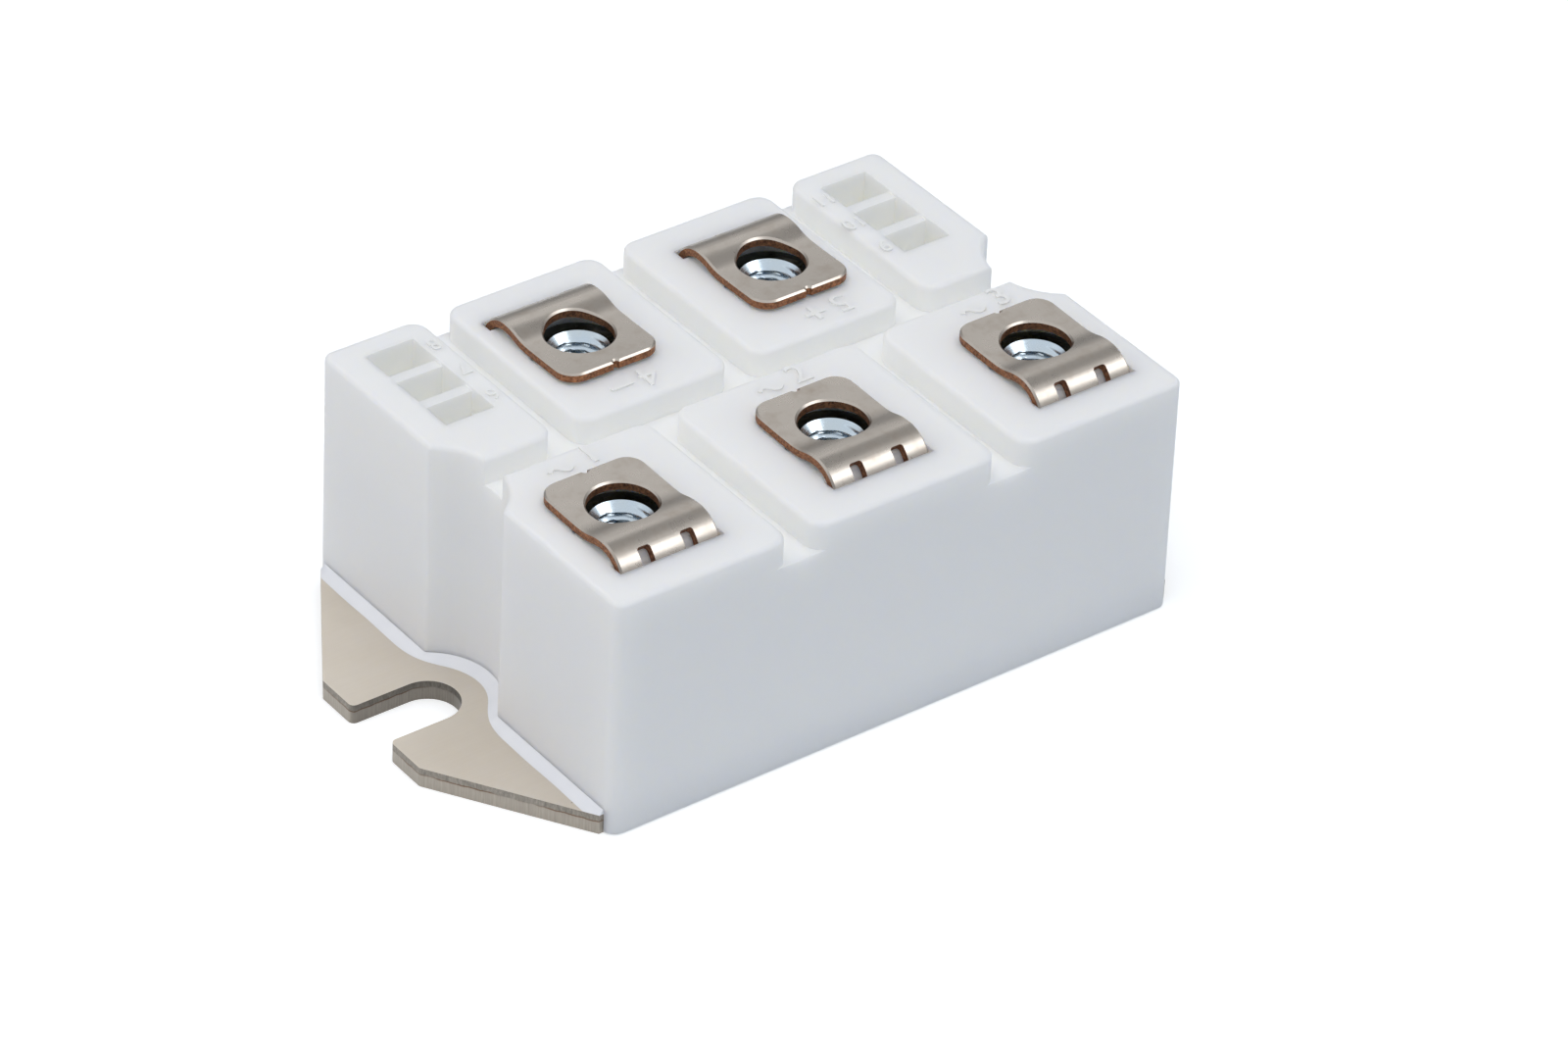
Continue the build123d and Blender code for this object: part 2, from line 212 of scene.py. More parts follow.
def settle(piece: Object, slot: str, *replaced: str) -> None:
    """Parent a finished piece to the body, hide the CAD nodes that it stands for, and log it.

    Args:
        piece: object at the origin, with its place in its mesh.
        slot: name of a material slot, only written to the log.
        *replaced: CAD nodes that it stands for.
    """
    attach(piece, BODY)
    if replaced:
        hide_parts(*replaced)
    log.info("%s: %d faces, slot %s", piece.name, len(piece.data.polygons), slot)


class Finish:
    """Base of every finish: a Principled shader on Object coordinates."""

    title = "finish"

    def build(self) -> Material:
        """Make the material with its shader and coordinates, then this finish's own nodes.

        Returns:
            The finished material.
        """
        material = bpy.data.materials.new(self.title)
        self.tree = empty_tree(material)
        self.shader = add_node(self.tree, "ShaderNodeBsdfPrincipled")
        add_node(self.tree, "ShaderNodeOutputMaterial", {"Surface": self.shader.outputs[0]})
        self.place = self.node("TexCoord", out="Object")
        self.patch()
        return material

    def patch(self) -> None:
        """Add the nodes of this finish to the started material."""
        raise NotImplementedError

    def node(
        self, kind: str, inputs: dict | list | None = None, out: int | str = 0, **settings: object
    ) -> NodeSocket:
        """Add a shader node, named without its prefix, and return one of its outputs."""
        return add_node(self.tree, "ShaderNode" + kind, inputs, **settings).outputs[out]

    def feed(self, **sockets: object) -> None:
        """Set or link inputs of the shader.

        Args:
            **sockets: value or output socket for each input, named with underscores for spaces.
        """
        for name, value in sockets.items():
            target = self.shader.inputs[name.replace("_", " ")]
            if isinstance(value, NodeSocket):
                self.tree.links.new(value, target)
            else:
                target.default_value = value


class MouldedPolyester(Finish):
    """White glass-filled PBT, injection moulded in a spark-eroded tool.

    The eye sees a soft satin white with a very fine orange-peel grain, a little light that passes
    into the surface, and faint flow clouds from the glass fibre.
    """

    title = "white_glass_filled_pbt"
    base = "#FDFDFB"
    cloud = "#F9F9F7"
    cloud_size = 14 * MM
    # The real grain is about 0.1 mm, drawn coarser so that it shows
    grain_size = 0.35 * MM
    grain_height = 0.02 * MM
    satin = (0.46, 0.58)
    depth = 2.4 * MM
    depth_tint = (1.0, 0.95, 0.82)
    # Heights between which a ridge starts, and the light that passes into pad and ridge
    ridge_start = (PAD_TOP + 0.02 * MM, PAD_TOP + 0.08 * MM)
    passed = (0.9, 0.05)

    def passed_light(self) -> NodeSocket | float:
        """Share of the light that passes into the surface, least on the ridges over the pads."""
        # A ridge fills each strip's windows, where light that spread sideways would be lost
        height = self.node("SeparateXYZ", [self.place], 2)
        return self.node("MapRange", [height, *self.ridge_start, *self.passed])

    def patch(self) -> None:
        """White with flow clouds, a fine grain and light that passes into the surface."""
        clouds = self.node(
            "TexNoise",
            {"Vector": self.place, "Scale": 1 / self.cloud_size, "Detail": 3.0, "Roughness": 0.55},
        )
        colour = self.node("Mix", {0: clouds, 6: self.base, 7: self.cloud}, 2, data_type="RGBA")
        grain = self.node("TexNoise", {"Vector": self.place, "Scale": 1 / self.grain_size, "Detail": 2.0})
        rough = self.node("MapRange", [grain, *NOISE, *self.satin])
        bump = self.node("Bump", {"Height": grain, "Strength": 0.35, "Distance": self.grain_height})
        self.feed(
            Base_Color=colour,
            Roughness=rough,
            Normal=bump,
            Subsurface_Weight=self.passed_light(),
            Subsurface_Radius=self.depth_tint,
            Subsurface_Scale=self.depth,
        )


class EngravedPolyester(MouldedPolyester):
    """The same PBT where it filled the engraved marks of the mould, which are polished.

    The eye sees the marks by their thin, crisp edges, white on white.
    """

    title = "white_pbt_in_engraved_marks"
    grain_height = 0.005 * MM
    passed_in_marks = 0.15

    def passed_light(self) -> float:
        """Hardly any light passes into strokes this thin."""
        return self.passed_in_marks


class NickelPlatedPlate(Finish):
    """Copper plate, cold rolled, punched and then nickel plated to a dull sheen.

    The eye sees a warm grey face with fine rolling lines and a few specks. The punched edge has a
    torn, grainy band under the top face and a burnished band with upright scratches below it.
    """

    title = "nickel_plated_copper_plate"
    face = "#EAE3D9"
    face_dark = "#DCD2C3"
    speck = "#A08F78"
    torn = "#A09A91"
    burnished = "#A29B91"
    bare = "#7C6250"
    # Upright share of the normal between which a face turns into an edge
    edge_turn = (0.75, 0.45)
    cloud_size = 9 * MM
    roll_line = 0.35 * MM
    roll_stretch = (0.02, 1.0, 1.0)
    face_roughness = (0.48, 0.58)
    # A speck fades between two radii, in shares of the pitch, and one cell in six holds one
    speck_pitch = 2.2 * MM
    speck_rim = (0.05, 0.08)
    speck_lot = 0.84
    # The torn band's lower border wanders between two shares of the plate's thickness
    tear_wander = 1.2 * MM
    tear_border = (0.63, 0.69)
    tear_blur = 0.04 * MM
    grit_size = 0.25 * MM
    grit_stretch = (1.0, 1.0, 0.35)
    scratch_width = 0.18 * MM
    scratch_stretch = (1.0, 1.0, 0.04)
    # Reach of the bare copper line about that border, and the clouds that break it
    bare_reach = (0.03 * MM, 0.12 * MM)
    bare_clouds = (0.42, 0.52)
    bare_share = 0.9
    # Values for the burnished and for the torn band
    darkest = (0.84, 0.62)
    wall_roughness = (0.36, 0.62)
    lightest = 1.12
    # Painted shade in the slot: the slot's half width, the reach over which the shade fades out, and how
    # dark it is
    slot_half_width = 3.45 * MM
    slot_fade = (0.05 * MM, 0.6 * MM)
    slot_shade = 0.55
    # Strength of the relief on the face and on the edge
    relief_strength = (0.04, 0.75)
    relief_height = 0.03 * MM

    def __init__(self, thickness: float) -> None:
        """Keep the plate's thickness, in metres, that places the torn band."""
        self.thickness = thickness

    def face_colour(self, clouds: NodeSocket) -> NodeSocket:
        """Colour the rolled face, with its few specks.

        Args:
            clouds: slow noise that varies the tone.

        Returns:
            The colour.
        """
        face = self.node("Mix", {0: clouds, 6: self.face, 7: self.face_dark}, 2, data_type="RGBA")
        cells = add_node(
            self.tree, "ShaderNodeTexVoronoi", {"Vector": self.place, "Scale": 1 / self.speck_pitch}
        ).outputs
        dot = self.node("MapRange", [cells["Distance"], *self.speck_rim, 1.0, 0.0])
        lot = self.node("SeparateColor", [cells["Color"]])
        chosen = self.node("Math", [lot, self.speck_lot], operation="GREATER_THAN")
        speck = self.node("Math", [dot, chosen], operation="MULTIPLY")
        return self.node("Mix", {0: speck, 6: face, 7: self.speck}, 2, data_type="RGBA")

    def above_tear(self, height: NodeSocket) -> NodeSocket:
        """Measure how far a spot lies above the wandering border of the torn band.

        Args:
            height: height of the spot.

        Returns:
            The distance, in metres, negative below the border.
        """
        wander = self.node(
            "TexNoise", {"Vector": self.place, "Scale": 1 / self.tear_wander, "Detail": 3.0}
        )
        low, high = (share * self.thickness for share in self.tear_border)
        border = self.node("MapRange", [wander, *NOISE, low, high])
        return self.node("Math", [height, border], operation="SUBTRACT")

    def wall_relief(self, tear: NodeSocket) -> NodeSocket:
        """Grain of the punched edge: upright scratches below, short grit in the torn band.

        Args:
            tear: 1 in the torn band, 0 below it.

        Returns:
            The relief.
        """
        torn_lines = self.node("Mapping", {"Vector": self.place, "Scale": self.grit_stretch})
        grit = self.node(
            "TexNoise",
            {"Vector": torn_lines, "Scale": 1 / self.grit_size, "Detail": 4.0, "Roughness": 0.7},
        )
        upright_lines = self.node("Mapping", {"Vector": self.place, "Scale": self.scratch_stretch})
        scratches = self.node(
            "TexNoise",
            {"Vector": upright_lines, "Scale": 1 / self.scratch_width, "Detail": 3.0, "Roughness": 0.7},
        )
        return self.node("Mix", {0: tear, 2: scratches, 3: grit})

    def wall_colour(
        self,
        clouds: NodeSocket,
        across: NodeSocket,
        above: NodeSocket,
        tear: NodeSocket,
        relief: NodeSocket,
    ) -> NodeSocket:
        """Colour the punched edge, with painted shade in the slot.

        Args:
            clouds: slow noise that breaks the copper line.
            across: place along Y.
            above: distance above the torn band's border.
            tear: 1 in the torn band, 0 below it.
            relief: grain of the edge.

        Returns:
            The colour.
        """
        wall = self.node("Mix", {0: tear, 6: self.burnished, 7: self.torn}, 2, data_type="RGBA")
        # Where the tear begins the copper shows through as a thin broken line
        distance = self.node("Math", [above], operation="ABSOLUTE")
        near = self.node("MapRange", [distance, *self.bare_reach, 1.0, 0.0])
        broken = self.node("MapRange", [clouds, *self.bare_clouds, 0.0, self.bare_share])
        bare = self.node("Math", [near, broken], operation="MULTIPLY")
        wall = self.node("Mix", {0: bare, 6: wall, 7: self.bare}, 2, data_type="RGBA")
        darkest = self.node("MapRange", [tear, *UNIT, *self.darkest])
        shade = self.node("MapRange", [relief, *NOISE, darkest, self.lightest])
        # Painted shade: the edge is darkened within the slot, where its walls lie in shade
        away = self.node("Math", [across], operation="ABSOLUTE")
        start, end = (self.slot_half_width + fade for fade in self.slot_fade)
        outside = self.node("MapRange", [away, start, end, self.slot_shade, 1.0])
        shade = self.node("Math", [shade, outside], operation="MULTIPLY")
        return self.node("VectorMath", {0: wall, 3: shade}, operation="SCALE")

    def patch(self) -> None:
        """Face and punched edge, told apart by the surface's direction."""
        normal = self.node("NewGeometry", out="Normal")
        up = self.node("SeparateXYZ", [normal], 2)
        upright = self.node("Math", [up], operation="ABSOLUTE")
        edge = self.node("MapRange", [upright, *self.edge_turn, *UNIT])
        across, height = add_node(self.tree, "ShaderNodeSeparateXYZ", [self.place]).outputs[1:]
        clouds = self.node(
            "TexNoise", {"Vector": self.place, "Scale": 1 / self.cloud_size, "Detail": 3.0}
        )
        rolled = self.node("Mapping", {"Vector": self.place, "Scale": self.roll_stretch})
        lines = self.node(
            "TexNoise", {"Vector": rolled, "Scale": 1 / self.roll_line, "Detail": 4.0, "Roughness": 0.6}
        )
        above = self.above_tear(height)
        tear = self.node("MapRange", [above, -self.tear_blur, self.tear_blur, *UNIT])
        relief = self.wall_relief(tear)
        face = self.face_colour(clouds)
        wall = self.wall_colour(clouds, across, above, tear, relief)
        colour = self.node("Mix", {0: edge, 6: face, 7: wall}, 2, data_type="RGBA")
        on_face = self.node("MapRange", [lines, *NOISE, *self.face_roughness])
        on_wall = self.node("MapRange", [tear, *UNIT, *self.wall_roughness])
        roughness = self.node("Mix", {0: edge, 2: on_face, 3: on_wall})
        grain = self.node("Mix", {0: edge, 2: lines, 3: relief})
        strength = self.node("MapRange", [edge, *UNIT, *self.relief_strength])
        bump = self.node("Bump", {"Height": grain, "Strength": strength, "Distance": self.relief_height})
        self.feed(Base_Color=colour, Metallic=0.85, Roughness=roughness, Normal=bump)


class NickelPlatedStrip(Finish):
    """Copper strip, nickel plated before it was stamped and bent.

    The eye sees a warm grey satin skin with faint brownish stains and drawn lines, and bare brown
    copper wherever the stamping cut through it.
    """

    title = "nickel_plated_copper_strip"
    skin = "#B4AEA7"
    stain = "#9E9184"
    copper = "#B8825F"
    copper_dark = "#604536"
    # Share of the normal along the skin's direction between which skin turns into a cut edge
    cut_turn = (0.55, 0.35)
    line_width = 0.22 * MM
    line_stretch = (1.0, 0.04, 0.04)
    stain_size = 2.2 * MM
    stain_rim = (0.52, 0.78)
    stain_share = 0.55
    grit_size = 0.3 * MM
    grit_rim = (0.35, 0.65)
    satin = (0.25, 0.33)
    cut_roughness = 0.5
    # Strength of the relief on the skin and on a cut
    relief_strength = (0.02, 0.6)
    relief_height = 0.03 * MM

    def __init__(self, name: str, centre: Vector, side: float, bend: tuple[float, float]) -> None:
        """Keep where the strip is.

        Args:
            name: name of the terminal, added to the material's.
            centre: middle of the screw hole.
            side: -1 in the front row, 1 in the back row.
            bend: distance outwards and height of the bend's axis.
        """
        self.title = f"{NickelPlatedStrip.title}_{name}"
        self.centre = centre
        self.side = side
        self.bend = bend

    def cut_share(self, outwards: NodeSocket) -> NodeSocket:
        """Tell cut edges from skin by how a surface faces the strip's bent line.

        Args:
            outwards: place measured from the screw hole, with Y towards the bend.

        Returns:
            1 on a cut edge, 0 on the skin.
        """
        normal = self.node("NewGeometry", out="Normal")
        turned = self.node("VectorMath", [normal, (1.0, self.side, 1.0)], operation="MULTIPLY")
        # Direction of the skin: up on the tab, outwards on the riser, radial round the bend
        from_axis = self.node("VectorMath", [outwards, (0.0, *self.bend)], operation="SUBTRACT")
        flat = self.node("VectorMath", [from_axis, (0.0, 1.0, 1.0)], operation="MULTIPLY")
        outer = self.node("VectorMath", [flat, (0.0, 0.0, 0.0)], operation="MAXIMUM")
        radial = self.node("VectorMath", [outer], operation="NORMALIZE")
        facing = self.node("VectorMath", [radial, turned], "Value", operation="DOT_PRODUCT")
        square = self.node("Math", [facing], operation="ABSOLUTE")
        return self.node("MapRange", [square, *self.cut_turn, *UNIT])

    def patch(self) -> None:
        """Stained, drawn skin and gritty copper where it is cut."""
        outwards = self.node(
            "Mapping",
            {
                "Vector": self.place,
                "Location": (-self.centre.x, -self.side * self.centre.y, 0.0),
                "Scale": (1.0, self.side, 1.0),
            },
        )
        cut = self.cut_share(outwards)
        drawn = self.node("Mapping", {"Vector": outwards, "Scale": self.line_stretch})
        lines = self.node(
            "TexNoise", {"Vector": drawn, "Scale": 1 / self.line_width, "Detail": 3.0, "Roughness": 0.65}
        )
        stains = self.node(
            "TexNoise",
            {"Vector": self.place, "Scale": 1 / self.stain_size, "Detail": 5.0, "Roughness": 0.62},
        )
        stained = self.node("MapRange", [stains, *self.stain_rim, 0.0, self.stain_share])
        skin = self.node("Mix", {0: stained, 6: self.skin, 7: self.stain}, 2, data_type="RGBA")
        grit = self.node(
            "TexNoise",
            {"Vector": self.place, "Scale": 1 / self.grit_size, "Detail": 4.0, "Roughness": 0.7},
        )
        tarnish = self.node("MapRange", [grit, *self.grit_rim, *UNIT])
        copper = self.node("Mix", {0: tarnish, 6: self.copper, 7: self.copper_dark}, 2, data_type="RGBA")
        colour = self.node("Mix", {0: cut, 6: skin, 7: copper}, 2, data_type="RGBA")
        satin = self.node("MapRange", [stains, *NOISE, *self.satin])
        roughness = self.node("Mix", {0: cut, 2: satin, 3: self.cut_roughness})
        relief = self.node("Mix", {0: cut, 2: lines, 3: grit})
        strength = self.node("MapRange", [cut, *UNIT, *self.relief_strength])
        bump = self.node("Bump", {"Height": relief, "Strength": strength, "Distance": self.relief_height})
        self.feed(Base_Color=colour, Metallic=1.0, Roughness=roughness, Normal=bump)


class BrightZinc(Finish):
    """Steel nut, zinc plated and blue passivated.

    The eye sees a mirror-like cold grey with bluish and yellowish tints and turning marks.
    """

    title = "blue_passivated_zinc"
    cold = "#B6C8DC"
    warm = "#BEC8CA"
    # Painted shade and painted dark reflection: dark grey for the flat faces, standing in for the strip's
    # shadow on them and its dark underside mirrored in them
    flat = "#5C5E58"
    tint_size = 2.5 * MM
    # Upright share of the normal from which a surface is one of the flat faces, which get painted shade
    flat_turn = (0.94, 0.98)
    mark_width = 0.12 * MM
    mark_stretch = (0.1, 0.1, 1.0)
    mark_height = 0.02 * MM
    gloss = (0.14, 0.28)

    def patch(self) -> None:
        """Bright metal with tints and fine turning marks, and painted shade on the flat faces."""
        tint = self.node("TexNoise", {"Vector": self.place, "Scale": 1 / self.tint_size, "Detail": 2.0})
        colour = self.node("Mix", {0: tint, 6: self.cold, 7: self.warm}, 2, data_type="RGBA")
        normal = self.node("NewGeometry", out="Normal")
        up = self.node("SeparateXYZ", [normal], 2)
        upright = self.node("Math", [up], operation="ABSOLUTE")
        face = self.node("MapRange", [upright, *self.flat_turn, *UNIT])
        # Painted shade on the flat faces
        colour = self.node("Mix", {0: face, 6: colour, 7: self.flat}, 2, data_type="RGBA")
        level = self.node("Mapping", {"Vector": self.place, "Scale": self.mark_stretch})
        marks = self.node("TexNoise", {"Vector": level, "Scale": 1 / self.mark_width, "Detail": 3.0})
        roughness = self.node("MapRange", [marks, *NOISE, *self.gloss])
        bump = self.node("Bump", {"Height": marks, "Strength": 0.15, "Distance": self.mark_height})
        self.feed(Base_Color=colour, Metallic=1.0, Roughness=roughness, Normal=bump)


class CuredSilicone(Finish):
    """Silicone adhesive that was squeezed out under the housing and cured.

    The eye sees a smooth, slightly translucent bluish white with a soft gloss.
    """

    title = "cured_silicone_adhesive"
    base = "#F3F5FA"
    thin = "#ECEEF5"
    wave_size = 3 * MM
    wave_height = 0.08 * MM
    gloss = (0.28, 0.4)
    depth = 0.3 * MM
    depth_tint = (0.8, 0.85, 1.0)

    def patch(self) -> None:
        """Smooth bluish white with slow waves."""
        waves = self.node("TexNoise", {"Vector": self.place, "Scale": 1 / self.wave_size, "Detail": 1.0})
        colour = self.node("Mix", {0: waves, 6: self.base, 7: self.thin}, 2, data_type="RGBA")
        roughness = self.node("MapRange", [waves, *NOISE, *self.gloss])
        bump = self.node("Bump", {"Height": waves, "Strength": 0.2, "Distance": self.wave_height})
        self.feed(
            Base_Color=colour,
            Roughness=roughness,
            Normal=bump,
            Subsurface_Weight=0.1,
            Subsurface_Radius=self.depth_tint,
            Subsurface_Scale=self.depth,
        )


class SealedMaterial(Enum):
    """Materials of the sealed circuit: title, colours, metallic, roughness, pattern size."""

    COPPER = ("rolled_bare_copper", "#C98A66", "#B67550", 1.0, 0.32, 0.4 * MM)
    ALUMINA = ("sintered_alumina", "#F1EFE8", "#E6E3DA", 0.0, 0.62, 0.25 * MM)
    SILICON = ("polished_silicon_die", "#4A4B54", "#3B3C46", 0.7, 0.16, 1.5 * MM)
    GEL = ("dielectric_silicone_gel", "#E3E6E4", "#D8DCDA", 0.0, 0.12, 6 * MM)


class SealedFinish(Finish):
    """A finish for a piece of the sealed circuit, mottled at its own scale."""

    swing = 0.15
    relief_height = 0.02 * MM

    def __init__(self, kind: SealedMaterial) -> None:
        """Keep which material it is."""
        self.title, self.light, self.dark, self.metal, self.rough, self.size = kind.value

    def patch(self) -> None:
        """Two close colours mixed by a noise that also roughens the surface."""
        mottle = self.node("TexNoise", {"Vector": self.place, "Scale": 1 / self.size, "Detail": 4.0})
        colour = self.node("Mix", {0: mottle, 6: self.light, 7: self.dark}, 2, data_type="RGBA")
        low, high = self.rough * (1 - self.swing), self.rough * (1 + self.swing)
        roughness = self.node("MapRange", [mottle, *NOISE, low, high])
        bump = self.node("Bump", {"Height": mottle, "Strength": 0.1, "Distance": self.relief_height})
        self.feed(Base_Color=colour, Metallic=self.metal, Roughness=roughness, Normal=bump)


@dataclass
class CaptiveNuts:
    """The five M6 nuts: hexagon, chamfers, countersinks and a cut thread."""

    flats: float = 10.0 * MM
    chamfer_angle: float = 30.0
    face_share: float = 0.97
    pitch: float = 1.0 * MM
    crest_flat: float = 0.125
    minor_radius: float = 2.5 * MM
    major_radius: float = 3.0 * MM
    countersink_radius: float = 3.45 * MM
    segments: int = 96
    rings_per_pitch: int = 10
    smooth_angle: float = 28.0

    def bore_radius(self, turn: float, z: float, height: float) -> float:
        """Work out how wide the bore is at one spot.

        Args:
            turn: share of a full turn.
            z: height above the nut's lower face.
            height: height of the nut.

        Returns:
            Radius of the thread, or of the countersink where that is wider.
        """
        phase = (z / self.pitch - turn) % 1.0
        crest = 1.0 - abs(2.0 * phase - 1.0)
        cut = min(max((crest - self.crest_flat) / (1.0 - 2.0 * self.crest_flat), 0.0), 1.0)
        thread = self.minor_radius + (self.major_radius - self.minor_radius) * cut
        cone = self.countersink_radius - min(z, height - z)
        return max(thread, cone)

    def hexagon_radius(self, turn: float) -> float:
        """Distance from the axis to the hexagon's side, with corners along X."""
        sector = math.tau / 6
        return self.flats / 2 / math.cos(turn * math.tau % sector - sector / 2)

    def template(self, height: float) -> Object:
        """Build one nut about the origin, standing on its lower face.

        Args:
            height: height of the nut.

        Returns:
            A closed mesh object.
        """
        bore = round(height / self.pitch * self.rings_per_pitch)
        face_radius = self.face_share * self.flats / 2
        slope = math.tan(math.radians(self.chamfer_angle))
        levels = [height * j / bore for j in range(bore + 1)]
        points = []
        for i in range(self.segments):
            turn = i / self.segments
            corner = self.hexagon_radius(turn)
            drop = (corner - face_radius) * slope
            column = [(self.bore_radius(turn, z, height), z) for z in levels]
            column += [(face_radius, height), (corner, height - drop)]
            column += [(corner, drop), (face_radius, 0.0)]
            angle = turn * math.tau
            points += [Vector((r * math.cos(angle), r * math.sin(angle), z)) for r, z in column]
        rings = len(points) // self.segments
        faces = []
        for i in range(self.segments):
            here = i * rings
            after = (i + 1) % self.segments * rings
            for j in range(rings):
                above = (j + 1) % rings
                faces.append((here + j, after + j, after + above, here + above))
        return closed_object("nut_template", points, faces, self.smooth_angle)

    def scatter_tree(self, material: Material) -> tuple[NodeTree, str]:
        """Make the Geometry Nodes that stand one nut on each point.

        Args:
            material: finish of the nuts.

        Returns:
            The node group, and the identifier of its input for the nut object.
        """
        tree = bpy.data.node_groups.new("nuts_on_seats", "GeometryNodeTree")
        tree.interface.new_socket("Seats", in_out="INPUT", socket_type="NodeSocketGeometry")
        nut_input = tree.interface.new_socket("Nut", in_out="INPUT", socket_type="NodeSocketObject")
        tree.interface.new_socket("Nuts", in_out="OUTPUT", socket_type="NodeSocketGeometry")
        entry = add_node(tree, "NodeGroupInput").outputs
        nut = add_node(tree, "GeometryNodeObjectInfo", {"Object": entry["Nut"]})
        stand = add_node(
            tree,
            "GeometryNodeInstanceOnPoints",
            {"Points": entry["Seats"], "Instance": nut.outputs["Geometry"]},
        )
        end_tree(tree, stand.outputs[0], material)
        return tree, nut_input.identifier

    def build(self, material: Material) -> None:
        """Stand the nuts in their pockets in place of the plain ones.

        Args:
            material: finish of the nuts.
        """
        nodes = [f"nut_{name}" for name in TERMINALS]
        boxes = [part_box(node) for node in nodes]
        template = self.template(boxes[0][1].z - boxes[0][0].z)
        seats = [Vector(((a.x + b.x) / 2, (a.y + b.y) / 2, a.z)) for a, b in boxes]
        piece = new_object("threaded_nuts", new_mesh("threaded_nuts", seats, [], []))
        tree, nut_input = self.scatter_tree(material)
        realise(piece, tree, {nut_input: template}, self.smooth_angle)
        bpy.data.objects.remove(template)
        settle(piece, "zinc_nut", *nodes)


